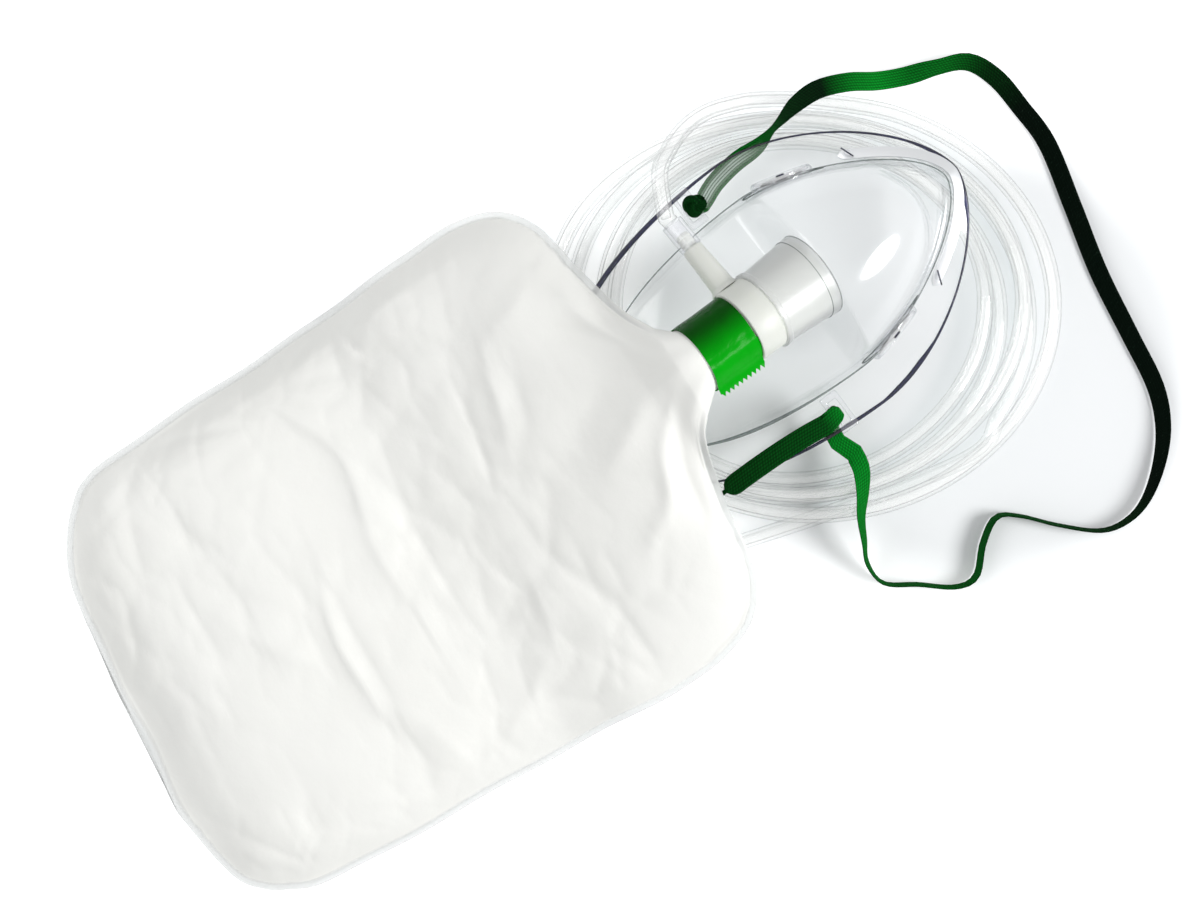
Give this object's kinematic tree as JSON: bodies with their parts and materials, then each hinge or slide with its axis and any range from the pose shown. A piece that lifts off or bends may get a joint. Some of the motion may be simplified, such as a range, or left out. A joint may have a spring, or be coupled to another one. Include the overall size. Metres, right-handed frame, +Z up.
{
  "type": "oxygen face mask",
  "caption": "Clear face mask with a valved front connector, film reservoir bag, coiled supply tube and elastic head strap, laid out dome up.",
  "frame": {"origin": "on the table under the middle of the mask and bag together", "axes": "+X along the mask from chin to nose, +Y towards the side with the tube's nipple, +Z up from the table"},
  "size_m": [0.383, 0.2258, 0.0658],
  "materials": {
    "clear_pvc": "clear glossy",
    "aluminium": "soft satin strip",
    "silicone": "satin",
    "polypropylene": "frosted",
    "bag_film": "frosted film",
    "green_tape": "glossy",
    "tube_pvc": "clear glossy",
    "elastic": "ribbed knit"
  },
  "bodies": {
    "root": {"mask_shell": "clear_pvc", "nose_clip": "aluminium", "exhalation_disc_left": "silicone", "exhalation_disc_right": "silicone", "connector_body": "polypropylene", "inlet_valve_disc": "silicone", "reservoir_bag": "bag_film", "neck_band": "green_tape", "tubing_cuff": "clear_pvc", "tubing_lead": "tube_pvc", "tubing_coil": "tube_pvc", "tubing_end_connector": "tube_pvc", "head_strap": "elastic"}
  },
  "joints": []
}
